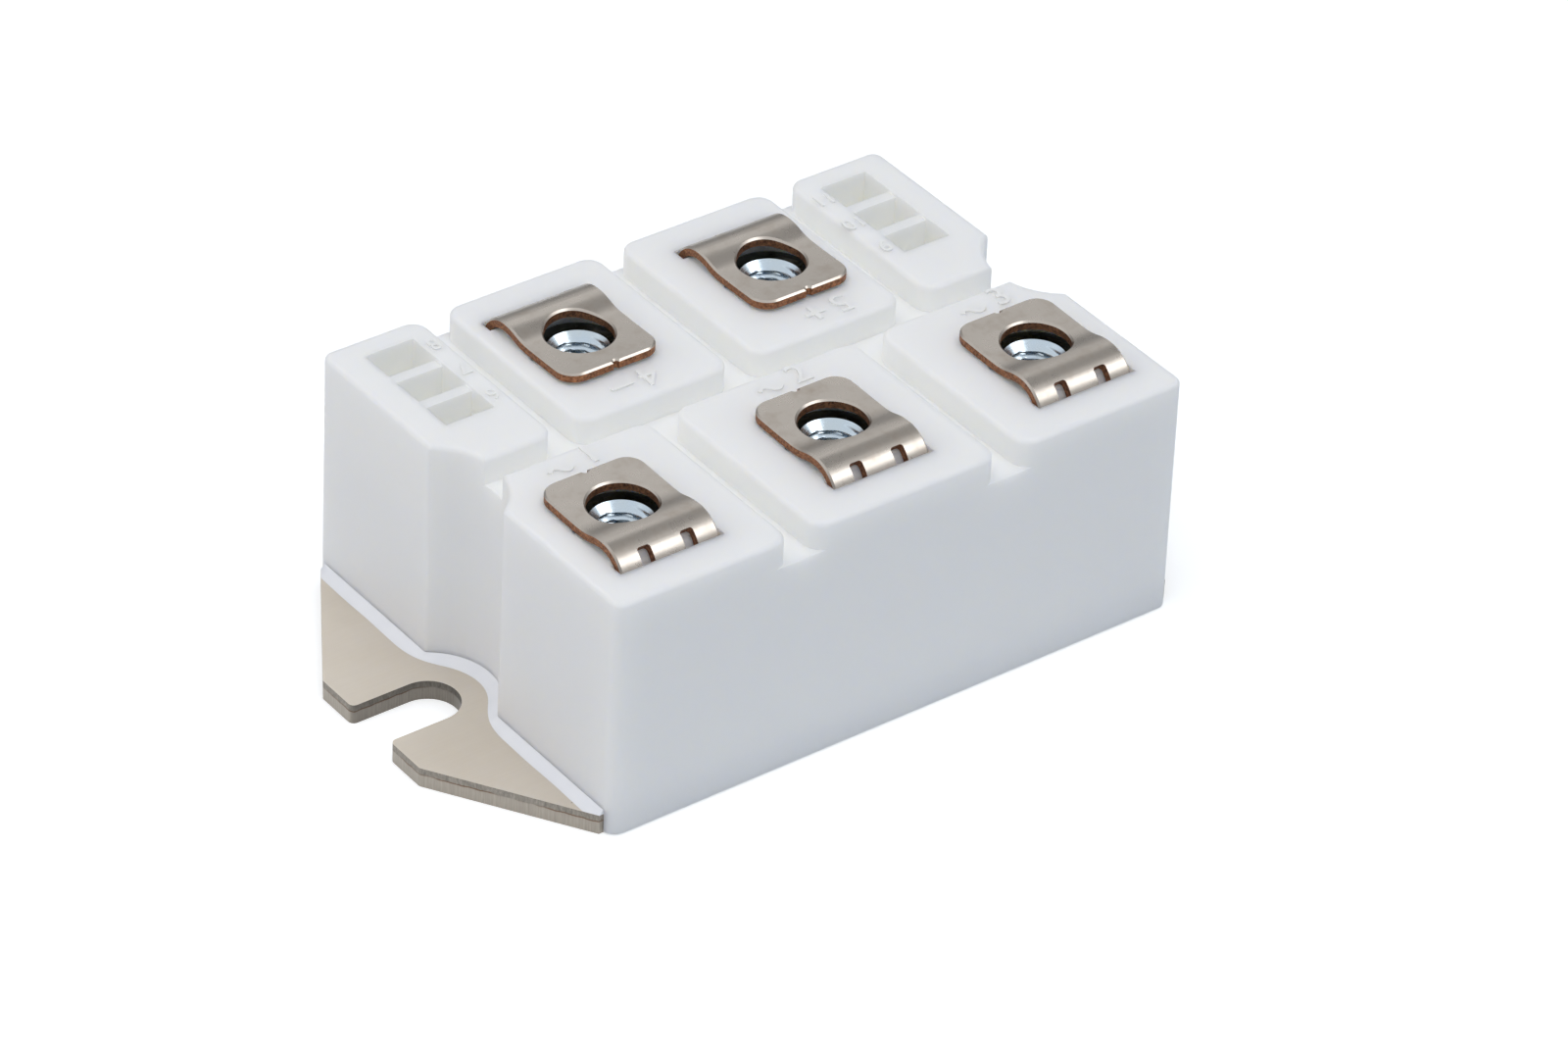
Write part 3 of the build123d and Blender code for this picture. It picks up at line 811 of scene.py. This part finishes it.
@dataclass
class SealingBead:
    """The fillet of silicone that runs along both end walls and round the screw niches."""

    wall_x: float = 36.0 * MM
    niche_x: float = 40.0 * MM
    niche_radius: float = 7.6 * MM
    reach: float = 1.35 * MM
    height: float = 0.55 * MM
    hollow: float = 1.35
    seat: float = 0.3 * MM
    tuck: float = 0.7 * MM
    lap: float = 0.1 * MM
    # Two slow waves that make the squeezed-out edge uneven: share of the reach, turn a step
    waves: tuple[tuple[float, float], ...] = ((0.04, 0.21), (0.02, 0.53))
    smoothing: float = 3.2 * MM
    step: float = 0.3 * MM
    toe_points: int = 7
    crisp_angle: float = 50.0
    shoulder_x: float = 36.45 * MM
    tab_half_width: float = 8.8 * MM
    edge_margin: float = 0.02 * MM
    side_gap: float = 0.1 * MM
    fill_tuck: float = 1.5 * MM
    fill_front: float = 0.55 * MM
    fill_front_outside: float = 0.75 * MM
    fill_floor: float = 0.1 * MM

    def wall_path(self, half_width: float) -> list[Vector]:
        """Follow the right end wall's foot from -Y to +Y, round the screw niche.

        Args:
            half_width: half of the plate's width.

        Returns:
            Evenly spaced points.
        """
        gap = self.niche_x - self.wall_x
        mouth = math.sqrt(self.niche_radius**2 - gap**2)
        corner = math.asin(mouth / self.niche_radius)
        straight = max(2, round((half_width - mouth) / self.step))
        arc = round(2 * corner * self.niche_radius / self.step)
        below = [
            Vector((self.wall_x, -half_width + (half_width - mouth) * i / straight, 0))
            for i in range(straight)
        ]
        inside = []
        for i in range(arc + 1):
            angle = corner * (2 * i / arc - 1)
            inset, along = self.niche_radius * math.cos(angle), self.niche_radius * math.sin(angle)
            inside.append(Vector((self.niche_x - inset, along, 0)))
        above = [Vector((p.x, -p.y, 0)) for p in reversed(below)]
        return below + inside + above

    def toe_line(self, path: list[Vector], limit: float, slope: float) -> list[Vector]:
        """Move the wall's foot outwards and round it off at the corners.

        Args:
            path: points along the wall's foot.
            limit: half of the plate's width, where its taper starts.
            slope: how fast the plate's taper runs outwards.

        Returns:
            One point of the fillet's outer edge for each point of the path.
        """
        raw = []
        for i, foot in enumerate(path):
            along = path[min(i + 1, len(path) - 1)] - path[max(i - 1, 0)]
            away = Vector((along.y, -along.x, 0)).normalized()
            uneven = sum(share * math.sin(i * turn) for share, turn in self.waves)
            raw.append(foot + away * self.reach * (1 + uneven))
        window = round(self.smoothing / self.step)
        toe = []
        for i in range(len(raw)):
            span = min(window, i, len(raw) - 1 - i)
            total = Vector((0, 0, 0))
            weight = 0
            for j in range(i - span, i + span + 1):
                share = span + 1 - abs(i - j)
                total += raw[j] * share
                weight += share
            spot = total / weight
            edge = self.shoulder_x + (limit - abs(spot.y)) * slope
            toe.append(Vector((min(spot.x, edge - self.edge_margin), spot.y, 0)))
        return toe

    def section(self, foot: Vector, toe: Vector) -> list[tuple[Vector, float]]:
        """Draw one cross-section, with a hollow slope from the wall down to the toe.

        Args:
            foot: point of the wall's foot.
            toe: point of the outer edge.

        Returns:
            Points once round, each with its height above the plate.
        """
        away = (toe - foot).normalized()
        back = foot - away * self.tuck
        under = foot - away * self.lap
        points = [(back, 0.0), (back, self.seat), (under, self.seat), (under, self.height)]
        for k in range(self.toe_points):
            share = k / (self.toe_points - 1)
            points.append((foot.lerp(toe, share), self.height * (1 - share) ** self.hollow))
        return points

    def gap_block(self, side: int, edge: float, top: float) -> list[Vector]:
        """Shape the silicone that fills the gap between the plate's side and the skirt.

        Args:
            side: which end of the module, -1 or 1.
            edge: place of the plate's side along Y.
            top: height of the plate's top face.

        Returns:
            The lower corners once round, then the upper ones.
        """
        outer = edge + math.copysign(self.side_gap, edge)
        corners = [
            (self.wall_x - self.fill_tuck, edge),
            (self.shoulder_x - self.fill_front, edge),
            (self.shoulder_x - self.fill_front_outside, outer),
            (self.wall_x - self.fill_tuck, outer),
        ]
        levels = (self.fill_floor, top + self.seat)
        return [Vector((side * x, y, z)) for z in levels for x, y in corners]

    def build(self, material: Material) -> None:
        """Sweep the fillet along both end walls in place of the plain bead.

        Args:
            material: finish of the silicone.
        """
        low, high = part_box("sealing_bead")
        plate_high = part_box("base_plate")[1]
        slope = (plate_high.x - self.shoulder_x) / (high.y - self.tab_half_width)
        path = self.wall_path(high.y)
        toe = self.toe_line(path, high.y, slope)
        points: list[Vector] = []
        faces: list[tuple[int, ...]] = []
        for side in (-1, 1):
            first = len(points)
            for foot, tip in zip(path, toe):
                ring = self.section(foot, tip)
                points += [Vector((side * spot.x, spot.y, low.z + up)) for spot, up in ring]
            faces += tube_faces(first, len(points) - len(ring), len(ring))
            for end in (-1, 1):
                block = self.gap_block(side, end * high.y, low.z)
                half = len(block) // 2
                faces += tube_faces(len(points), len(points) + half, half)
                points += block
        piece = closed_object("silicone_fillet", points, faces, self.crisp_angle)
        piece.data.materials.append(material)
        settle(piece, "silicone_bead", "sealing_bead")


class Sign(Enum):
    """Line marks in low relief."""

    MINUS = "minus"
    PLUS = "plus"
    WAVE = "wave"

    def strokes(self) -> list[list[tuple[float, float]]]:
        """Draw the mark about its middle.

        Returns:
            A list of strokes, each a list of points in millimetres.
        """
        half, arm, swing, samples = 1.35, 1.2, 0.5, 24
        if self is Sign.MINUS:
            return [[(-half, 0.0), (half, 0.0)]]
        if self is Sign.PLUS:
            return [[(-arm, 0.0), (arm, 0.0)], [(0.0, -arm), (0.0, arm)]]
        shares = [i / samples for i in range(samples + 1)]
        return [[(half * (2 * share - 1), swing * math.sin(math.tau * share)) for share in shares]]


@dataclass
class ReliefMarks:
    """Polarity signs and plain numerals that stand slightly proud of the pads."""

    stroke: float = 0.5 * MM
    rise: float = 0.14 * MM
    rib_depth: float = 0.3 * MM
    bevel: float = 0.01 * MM
    merge: float = 0.001 * MM
    curve_steps: int = 4
    numeral_height: float = 3.1 * MM
    pin_numeral_height: float = 1.9 * MM
    # Share of the font's size that a figure is high
    figure_share: float = 0.7
    front_sign: tuple[float, float] = (-0.8 * MM, 9.5 * MM)
    front_numeral: tuple[float, float] = (3.1 * MM, 10.0 * MM)
    back_sign: tuple[float, float] = (-1.0 * MM, 9.05 * MM)
    back_numeral: tuple[float, float] = (2.35 * MM, 8.85 * MM)
    pocket_x: float = 29.2 * MM
    pocket_y: float = 16.1 * MM
    pocket_pitch: float = 5.37 * MM
    pin_numeral_shift: float = 4.15 * MM
    crisp_angle: float = 40.0

    def stroke_tree(self, material: Material) -> tuple[NodeTree, dict[str, float]]:
        """Make the Geometry Nodes that turn the strokes' edges into ribs.

        Args:
            material: finish of the ribs.

        Returns:
            The node group, and the rib's width and depth by the identifiers of its inputs.
        """
        tree = bpy.data.node_groups.new("strokes_to_ribs", "GeometryNodeTree")
        tree.interface.new_socket("Strokes", in_out="INPUT", socket_type="NodeSocketGeometry")
        width = tree.interface.new_socket("Width", in_out="INPUT", socket_type="NodeSocketFloat")
        depth = tree.interface.new_socket("Depth", in_out="INPUT", socket_type="NodeSocketFloat")
        tree.interface.new_socket("Ribs", in_out="OUTPUT", socket_type="NodeSocketGeometry")
        entry = add_node(tree, "NodeGroupInput").outputs
        line = add_node(tree, "GeometryNodeMeshToCurve", {"Mesh": entry["Strokes"]})
        section = add_node(
            tree,
            "GeometryNodeCurvePrimitiveQuadrilateral",
            {"Width": entry["Width"], "Height": entry["Depth"]},
        )
        rib = add_node(
            tree,
            "GeometryNodeCurveToMesh",
            {"Curve": line.outputs[0], "Profile Curve": section.outputs[0], "Fill Caps": True},
        )
        end_tree(tree, rib.outputs[0], material)
        return tree, {width.identifier: self.stroke, depth.identifier: self.rib_depth}

    def signs(self, places: list[tuple[Sign, Vector]], material: Material) -> None:
        """Lay the polarity signs on the pads.

        Args:
            places: each sign with its middle.
            material: finish of the marks.
        """
        points: list[Vector] = []
        edges: list[tuple[int, int]] = []
        sink = PAD_TOP + self.rise - self.rib_depth / 2
        for sign, middle in places:
            for stroke in sign.strokes():
                start = len(points)
                points += [Vector((middle.x + x * MM, middle.y + y * MM, sink)) for x, y in stroke]
                edges += [(start + i, start + i + 1) for i in range(len(stroke) - 1)]
        piece = new_object("polarity_signs", new_mesh("polarity_signs", points, edges, []))
        realise(piece, *self.stroke_tree(material), self.crisp_angle)
        settle(piece, "white_moulding")

    def numeral(self, text: str, middle: Vector, size: float, turned: bool) -> Mesh:
        """Make one raised numeral.

        Args:
            text: the figure.
            middle: where its middle stands on the pad.
            size: its height.
            turned: True where it reads from the back.

        Returns:
            A mesh with its place in its vertices.
        """
        curve = bpy.data.curves.new("figure", "FONT")
        curve.body = text
        curve.size = size / self.figure_share
        curve.extrude = self.rise
        curve.bevel_depth = self.bevel
        curve.bevel_resolution = 0
        curve.resolution_u = self.curve_steps
        curve.align_x = "CENTER"
        curve.align_y = "CENTER"
        host = new_object("figure", curve)
        depsgraph = bpy.context.evaluated_depsgraph_get()
        mesh = bpy.data.meshes.new_from_object(host.evaluated_get(depsgraph))
        bpy.data.objects.remove(host)
        turn = Matrix.Rotation(math.pi if turned else 0.0, 4, "Z")
        mesh.transform(Matrix.Translation((middle.x, middle.y, PAD_TOP)) @ turn)
        return mesh

    def numerals(self, places: list[tuple[str, Vector, float, bool]], material: Material) -> None:
        """Join all numerals into one piece on the pads.

        Args:
            places: each figure with its middle, its height and whether it reads from the back.
            material: finish of the marks.
        """
        joined = bmesh.new()
        for place in places:
            mesh = self.numeral(*place)
            joined.from_mesh(mesh)
            bpy.data.meshes.remove(mesh)
        bmesh.ops.remove_doubles(joined, verts=joined.verts, dist=self.merge)
        bmesh.ops.recalc_face_normals(joined, faces=joined.faces)
        mesh = bpy.data.meshes.new("numerals")
        joined.to_mesh(mesh)
        joined.free()
        mesh.materials.append(material)
        smooth_by_angle(mesh, self.crisp_angle)
        settle(new_object("numerals", mesh), "white_moulding")

    def build(self, material: Material) -> None:
        """Put every mark on its pad.

        Args:
            material: finish of the marks.
        """
        signs = []
        numerals = []
        marks = (Sign.WAVE, Sign.WAVE, Sign.WAVE, Sign.MINUS, Sign.PLUS)
        rows = {-1: (self.front_sign, self.front_numeral), 1: (self.back_sign, self.back_numeral)}
        for number, (name, sign) in enumerate(zip(TERMINALS, marks), 1):
            low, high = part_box(f"nut_{name}")
            hole = (low + high) / 2
            row = -1 if hole.y < 0 else 1
            inwards = Vector((1, -row, 0))
            sign_spot, numeral_spot = (hole + inwards * Vector((*spot, 0)) for spot in rows[row])
            signs.append((sign, sign_spot))
            numerals.append((str(number), numeral_spot, self.numeral_height, row > 0))
        pockets = [(column, row) for column in (-1, 1) for row in (-1, 0, 1)]
        for number, (column, row) in enumerate(pockets, len(TERMINALS) + 1):
            x = column * (self.pocket_x - self.pin_numeral_shift)
            spot = Vector((x, self.pocket_y + row * self.pocket_pitch, 0))
            numerals.append((str(number), spot, self.pin_numeral_height, True))
        self.signs(signs, material)
        self.numerals(numerals, material)


@dataclass
class CircuitDress:
    """Finishes of the CAD nodes that keep their own shape."""

    bend_reach: float = 4.9 * MM
    bend_height: float = 26.45 * MM

    def coat(self, node: str, material: Material) -> None:
        """Give a CAD node its finish through its own material slots.

        Args:
            node: name of the CAD node.
            material: its finish.
        """
        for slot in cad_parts[node].material_slots:
            slot.material = material
        log.info("%s: %s", node, material.name)

    def build(self, moulding: Material) -> None:
        """Coat the housing, the plate, the strips and the sealed circuit.

        Args:
            moulding: finish of the housing.
        """
        self.coat("housing", moulding)
        low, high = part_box("base_plate")
        self.coat("base_plate", NickelPlatedPlate(high.z - low.z).build())
        for name in TERMINALS:
            low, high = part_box(f"nut_{name}")
            centre = (low + high) / 2
            side = -1.0 if centre.y < 0 else 1.0
            strip = NickelPlatedStrip(name, centre, side, (self.bend_reach, self.bend_height))
            self.coat(f"terminal_{name}", strip.build())
        sealed = {kind: SealedFinish(kind).build() for kind in SealedMaterial}
        families = {
            "island": SealedMaterial.COPPER,
            "clip": SealedMaterial.COPPER,
            "substrate_back": SealedMaterial.COPPER,
            "substrate_ceramic": SealedMaterial.ALUMINA,
            "chip": SealedMaterial.SILICON,
            "silicone_gel": SealedMaterial.GEL,
        }
        for start, kind in families.items():
            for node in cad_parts:
                if node.startswith(start):
                    self.coat(node, sealed[kind])


@dataclass(frozen=True)
class Lamp:
    """One square softbox: its place and side in metres, its power in watts and its colour."""

    name: str
    place: tuple[float, float, float]
    side: float
    watts: float
    colour: str


@dataclass(frozen=True)
class Card:
    """One card that only the metals mirror: its middle, width and height in metres, brightness."""

    name: str
    place: tuple[float, float, float]
    size: tuple[float, float]
    level: float


LAMPS = (
    Lamp("overhead", (-0.12, -0.14, 0.95), 1.0, 5.8, "#FFFDFB"),
    Lamp("left_fill", (-0.85, 0.45, 0.40), 0.6, 1.4, "#FFF2E6"),
    Lamp("right_fill", (0.85, -0.80, 0.55), 0.9, 0.7, "#C6DFFF"),
)
CARDS = (
    Card("front_right_card", (0.70, -0.88, 1.00), (1.1, 0.5), 3.6),
    Card("back_left_card", (-0.85, 0.95, 0.75), (0.6, 0.4), 1.0),
    Card("grey_flag", (0.085, 0.125, 0.045), (0.22, 0.06), 0.36),
    Card("grey_ceiling", (0.62, 0.22, 1.02), (0.75, 0.55), 0.42),
)


@dataclass
class Studio:
    """Camera at the photograph's angle, soft light and a pale floor."""

    position: tuple[float, float, float] = (-0.3603, -0.4652, 0.4274)
    heading: float = 38.14
    tilt: float = 35.42
    roll: float = 2.76
    lens: float = 158.96
    sensor: float = 36.0
    view_depth: tuple[float, float] = (0.01, 20.0)
    module_middle: float = 0.015
    room: str = "#E9F3FF"
    room_level: float = 0.35
    floor_colour: str = "#ECEEF0"
    floor_size: float = 4.0
    floor_drop: float = 0.02 * MM
    floor_glow: float = 0.42
    screen_sides: int = 48
    screen_radius: float = 1.6
    screen_height: float = 1.6
    screen_fade_start: float = 0.15
    screen_low: float = 0.30
    screen_high: float = 1.28
    diffuse_bounces: int = 16
    all_bounces: int = 24

    def camera(self) -> None:
        """Place the camera as the photograph's was."""
        data = bpy.data.cameras.new("photo_camera")
        data.lens = self.lens
        data.sensor_width = self.sensor
        data.clip_start, data.clip_end = self.view_depth
        camera = new_object("photo_camera", data)
        turn = (
            Matrix.Rotation(-math.radians(self.heading), 4, "Z")
            @ Matrix.Rotation(math.radians(90 - self.tilt), 4, "X")
            @ Matrix.Rotation(math.radians(self.roll), 4, "Z")
        )
        camera.matrix_world = Matrix.Translation(Vector(self.position)) @ turn
        bpy.context.scene.camera = camera

    def softbox(self, lamp: Lamp) -> None:
        """Hang one square area light that faces the module and that no metal mirrors.

        Args:
            lamp: the light.
        """
        data = bpy.data.lights.new(lamp.name, "AREA")
        data.shape = "SQUARE"
        data.size = lamp.side
        data.energy = lamp.watts
        data.color = linear(lamp.colour)[:3]
        light = new_object(lamp.name, data)
        light.visible_glossy = False
        aim = Vector((0, 0, self.module_middle)) - Vector(lamp.place)
        turn = aim.to_track_quat("-Z", "Y").to_matrix().to_4x4()
        light.matrix_world = Matrix.Translation(Vector(lamp.place)) @ turn

    def seen(self, tree: NodeTree) -> NodeSocket:
        """Tell the rays that see a surface as it is from those that gather its light.

        Args:
            tree: node tree that gets the nodes.

        Returns:
            1 for rays from the camera, off a mirror or through glass, otherwise 0.
        """
        path = add_node(tree, "ShaderNodeLightPath").outputs
        rays = path["Is Camera Ray"]
        for more in ("Is Transmission Ray", "Is Glossy Ray"):
            rays = add_node(tree, "ShaderNodeMath", [rays, path[more]], operation="MAXIMUM").outputs[0]
        return rays

    def world(self) -> None:
        """Light from all round, with a white background where the camera or a mirror looks."""
        world = bpy.data.worlds.new("studio")
        tree = empty_tree(world)
        seen = self.seen(tree)
        light = add_node(tree, "ShaderNodeBackground", [self.room, self.room_level])
        white = add_node(tree, "ShaderNodeBackground", [WHITE, 1.0])
        mixed = add_node(tree, "ShaderNodeMixShader", [seen, light.outputs[0], white.outputs[0]])
        add_node(tree, "ShaderNodeOutputWorld", {"Surface": mixed.outputs[0]})
        bpy.context.scene.world = world

    def floor(self) -> None:
        """Lay the pale floor, which stays near white and keeps the shadow."""
        half = self.floor_size / 2
        corners = ((-half, -half), (half, -half), (half, half), (-half, half))
        points = [(x, y, -self.floor_drop) for x, y in corners]
        mesh = new_mesh("floor", points, [], [(0, 1, 2, 3)])
        floor = new_object("floor", mesh)
        material = bpy.data.materials.new("pale_floor")
        tree = empty_tree(material)
        lift = add_node(tree, "ShaderNodeMath", [self.seen(tree), self.floor_glow], operation="MULTIPLY")
        matt = add_node(tree, "ShaderNodeBsdfDiffuse", {"Color": self.floor_colour})
        glow = add_node(tree, "ShaderNodeEmission", [WHITE, lift.outputs[0]])
        both = add_node(tree, "ShaderNodeAddShader", [matt.outputs[0], glow.outputs[0]])
        add_node(tree, "ShaderNodeOutputMaterial", {"Surface": both.outputs[0]})
        mesh.materials.append(material)

    def mirrored(self, name: str, mesh: Mesh, low: float, high: float) -> None:
        """Stand a glowing surface that only mirror rays see.

        Args:
            name: name of the object and its material.
            mesh: its mesh.
            low: brightness near the table.
            high: brightness at the screen's height.
        """
        material = bpy.data.materials.new(name)
        tree = empty_tree(material)
        place = add_node(tree, "ShaderNodeTexCoord").outputs["Object"]
        height = add_node(tree, "ShaderNodeSeparateXYZ", [place]).outputs[2]
        fade = (self.screen_fade_start, self.screen_height)
        level = add_node(tree, "ShaderNodeMapRange", [height, *fade, low, high])
        glow = add_node(tree, "ShaderNodeEmission", [WHITE, level.outputs[0]])
        add_node(tree, "ShaderNodeOutputMaterial", {"Surface": glow.outputs[0]})
        mesh.materials.append(material)
        surface = new_object(name, mesh)
        surface.visible_camera = False
        surface.visible_diffuse = False
        surface.visible_shadow = False
        surface.visible_transmission = False

    def screen(self) -> None:
        """Stand a grey screen round the table that only the metals mirror.

        It is dark near the table and pale higher up, as a studio is, so that bent metal shows its
        form.
        """
        sides = self.screen_sides
        points = []
        for z in (0.0, self.screen_height):
            for i in range(sides):
                angle = math.tau * i / sides
                x, y = self.screen_radius * math.cos(angle), self.screen_radius * math.sin(angle)
                points.append((x, y, z))
        faces = [(i, (i + 1) % sides, sides + (i + 1) % sides, sides + i) for i in range(sides)]
        mesh = new_mesh("screen", points, [], faces)
        self.mirrored("screen", mesh, self.screen_low, self.screen_high)

    def card(self, card: Card) -> None:
        """Stand a card that only the metals mirror, facing the module.

        Args:
            card: the card.
        """
        middle = Vector(card.place)
        turn = (-middle).to_track_quat("Z", "Y").to_matrix()
        wide, high = card.size[0] / 2, card.size[1] / 2
        corners = ((-wide, -high, 0), (wide, -high, 0), (wide, high, 0), (-wide, high, 0))
        points = [middle + turn @ Vector(corner) for corner in corners]
        mesh = new_mesh(card.name, points, [], [(0, 1, 2, 3)])
        self.mirrored(card.name, mesh, card.level, card.level)

    def build(self) -> None:
        """Set up the whole studio."""
        scene = bpy.context.scene
        scene.view_settings.view_transform = "Standard"
        self.camera()
        self.world()
        for lamp in LAMPS:
            self.softbox(lamp)
        self.floor()
        self.screen()
        for card in CARDS:
            self.card(card)
        # White walls light each other in the grooves and pockets, over many bounces
        scene.cycles.diffuse_bounces = self.diffuse_bounces
        scene.cycles.max_bounces = self.all_bounces


def main() -> None:
    """Dress the module piece by piece and report each one."""
    logging.basicConfig(level=logging.INFO, format="%(name)s: %(message)s")
    Studio().build()
    moulding = MouldedPolyester().build()
    CircuitDress().build(moulding)
    CaptiveNuts().build(BrightZinc().build())
    SealingBead().build(CuredSilicone().build())
    ReliefMarks().build(EngravedPolyester().build())


if __name__ == "__main__":
    main()
